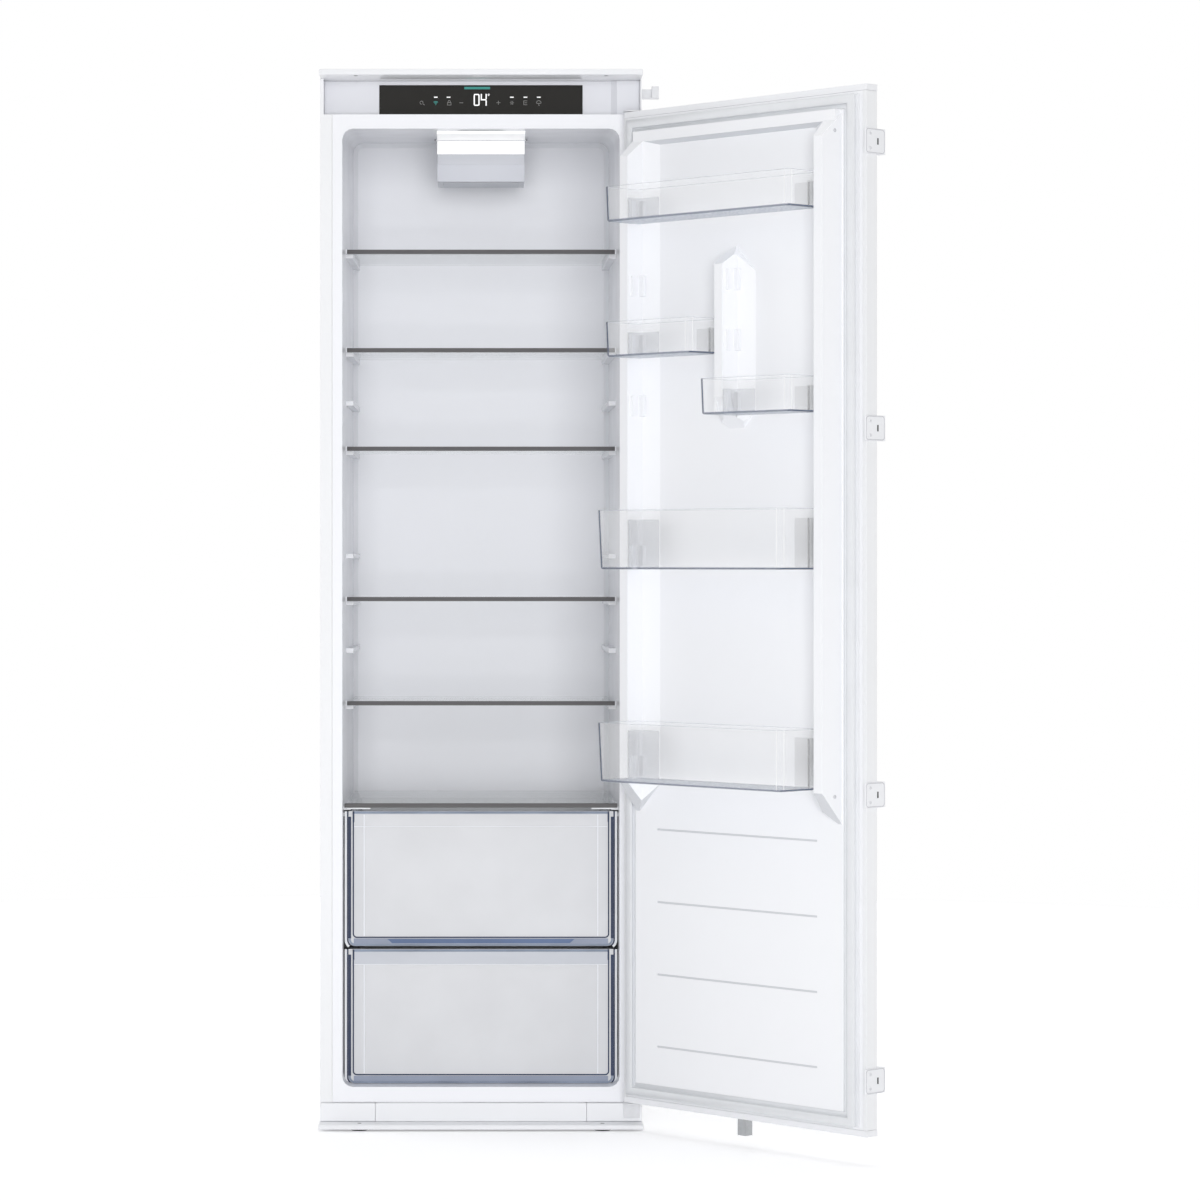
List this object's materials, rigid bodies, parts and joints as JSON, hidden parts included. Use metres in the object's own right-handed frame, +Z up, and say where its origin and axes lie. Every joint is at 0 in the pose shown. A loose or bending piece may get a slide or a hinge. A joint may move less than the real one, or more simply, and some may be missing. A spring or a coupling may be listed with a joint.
{
  "type": "built-in refrigerator",
  "caption": "Tall built-in larder refrigerator, white, with an open right-hinged door, glass shelves, clear crispers under a glass cover, door balconies, an interior lamp and a display.",
  "frame": {"origin": "underside of the base tray, under the middle of the cabinet's front plane", "axes": "+X to the right seen from the front, +Y into the cabinet, +Z up"},
  "size_m": [0.9077, 0.944, 1.77],
  "materials": {
    "white_steel": "satin",
    "white_plastic": "satin",
    "liner_plastic": "satin",
    "insulation_foam": "matte",
    "display_panel": "gloss",
    "circuit_board": "satin",
    "shelf_glass": "gloss",
    "shelf_trim": "satin",
    "clear_plastic": "gloss",
    "lamp_diffuser": "satin",
    "zinc_steel": "satin",
    "black_steel": "satin",
    "black_plastic": "matte",
    "aluminium": "satin",
    "gasket": "matte"
  },
  "bodies": {
    "cabinet": {"side_panel_left": "white_steel", "side_panel_right": "white_steel", "top_panel": "white_steel", "rear_panel": "zinc_steel", "inner_liner": "liner_plastic", "foam_insulation": "insulation_foam", "evaporator_plate": "aluminium", "top_ledge": "white_plastic", "control_housing": "white_plastic", "display_panel": "display_panel", "control_board": "circuit_board", "lamp_diffuser": "lamp_diffuser", "led_board": "circuit_board", "airflow_housing": "liner_plastic", "fan_motor": "black_plastic", "base_lip": "white_plastic", "plinth_panel": "white_plastic", "base_rail_left": "white_plastic", "base_rail_right": "white_plastic", "base_tray": "zinc_steel", "compressor": "black_steel", "relay_cover": "black_plastic", "condenser": "black_steel", "cable_gland": "black_plastic", "niche_fixing_bracket": "white_steel", "upper_hinge_bracket": "zinc_steel", "lower_hinge_bracket": "zinc_steel"},
    "door": {"door_outer_panel": "white_steel", "door_liner": "liner_plastic", "door_foam": "insulation_foam", "door_gasket": "gasket", "door_top_cap": "white_plastic", "door_bottom_cap": "white_plastic", "slide_bracket_1": "white_plastic", "slide_bracket_2": "white_plastic", "slide_bracket_3": "white_plastic", "slide_bracket_4": "white_plastic", "door_foot_bracket": "zinc_steel"},
    "shelf_1": {"shelf_1_glass": "shelf_glass", "shelf_1_trim": "shelf_trim"},
    "shelf_2": {"shelf_2_glass": "shelf_glass", "shelf_2_trim": "shelf_trim"},
    "shelf_3": {"shelf_3_glass": "shelf_glass", "shelf_3_trim": "shelf_trim"},
    "shelf_4": {"shelf_4_glass": "shelf_glass", "shelf_4_trim": "shelf_trim"},
    "shelf_5": {"shelf_5_glass": "shelf_glass", "shelf_5_trim": "shelf_trim"},
    "crisper_cover": {"crisper_cover_glass": "shelf_glass", "crisper_cover_trim": "shelf_trim"},
    "upper_crisper": {"drawer_upper": "clear_plastic"},
    "lower_crisper": {"drawer_lower": "clear_plastic"},
    "top_balcony": {"balcony_top": "clear_plastic"},
    "left_half_balcony": {"balcony_left_half": "clear_plastic"},
    "right_half_balcony": {"balcony_right_half": "clear_plastic"},
    "bottle_balcony": {"balcony_bottle": "clear_plastic"},
    "bottom_balcony": {"balcony_bottom": "clear_plastic"},
    "fan": {"fan_rotor": "white_plastic"},
    "left_foot": {"front_foot_left": "black_plastic"},
    "right_foot": {"front_foot_right": "black_plastic"}
  },
  "joints": [
    {"name": "door_hinge", "type": "hinge", "parent": "cabinet", "child": "door", "pos_m": [0.257, -0.029, 0.87], "axis": [0, 0, 1], "range_deg": [-133, 0]},
    {"name": "shelf_1_slide", "type": "slide", "parent": "cabinet", "child": "shelf_1", "axis": [0, -1, 0], "range_m": [0, 0.12]},
    {"name": "shelf_2_slide", "type": "slide", "parent": "cabinet", "child": "shelf_2", "axis": [0, -1, 0], "range_m": [0, 0.12]},
    {"name": "shelf_3_slide", "type": "slide", "parent": "cabinet", "child": "shelf_3", "axis": [0, -1, 0], "range_m": [0, 0.12]},
    {"name": "shelf_4_slide", "type": "slide", "parent": "cabinet", "child": "shelf_4", "axis": [0, -1, 0], "range_m": [0, 0.12]},
    {"name": "shelf_5_slide", "type": "slide", "parent": "cabinet", "child": "shelf_5", "axis": [0, -1, 0], "range_m": [0, 0.12]},
    {"name": "crisper_cover_slide", "type": "slide", "parent": "cabinet", "child": "crisper_cover", "axis": [0, -1, 0], "range_m": [0, 0.1]},
    {"name": "upper_crisper_slide", "type": "slide", "parent": "cabinet", "child": "upper_crisper", "axis": [0, -1, 0], "range_m": [0, 0.3]},
    {"name": "lower_crisper_slide", "type": "slide", "parent": "cabinet", "child": "lower_crisper", "axis": [0, -1, 0], "range_m": [0, 0.2]},
    {"name": "top_balcony_lift", "type": "slide", "parent": "door", "child": "top_balcony", "axis": [0, 0, 1], "range_m": [0, 0.025]},
    {"name": "left_half_balcony_lift", "type": "slide", "parent": "door", "child": "left_half_balcony", "axis": [0, 0, 1], "range_m": [0, 0.025]},
    {"name": "right_half_balcony_lift", "type": "slide", "parent": "door", "child": "right_half_balcony", "axis": [0, 0, 1], "range_m": [0, 0.025]},
    {"name": "bottle_balcony_lift", "type": "slide", "parent": "door", "child": "bottle_balcony", "axis": [0, 0, 1], "range_m": [0, 0.025]},
    {"name": "bottom_balcony_lift", "type": "slide", "parent": "door", "child": "bottom_balcony", "axis": [0, 0, 1], "range_m": [0, 0.025]},
    {"name": "fan_spin", "type": "hinge", "parent": "cabinet", "child": "fan", "pos_m": [0, 0.2937, 1.645], "axis": [0, 1, 0], "continuous": true},
    {"name": "left_foot_turn", "type": "hinge", "parent": "cabinet", "child": "left_foot", "pos_m": [-0.203, -0.028, 0.002], "axis": [0, 0, 1], "range_deg": [-180, 180]},
    {"name": "right_foot_turn", "type": "hinge", "parent": "cabinet", "child": "right_foot", "pos_m": [0.203, -0.028, 0.002], "axis": [0, 0, 1], "range_deg": [-180, 180]}
  ]
}
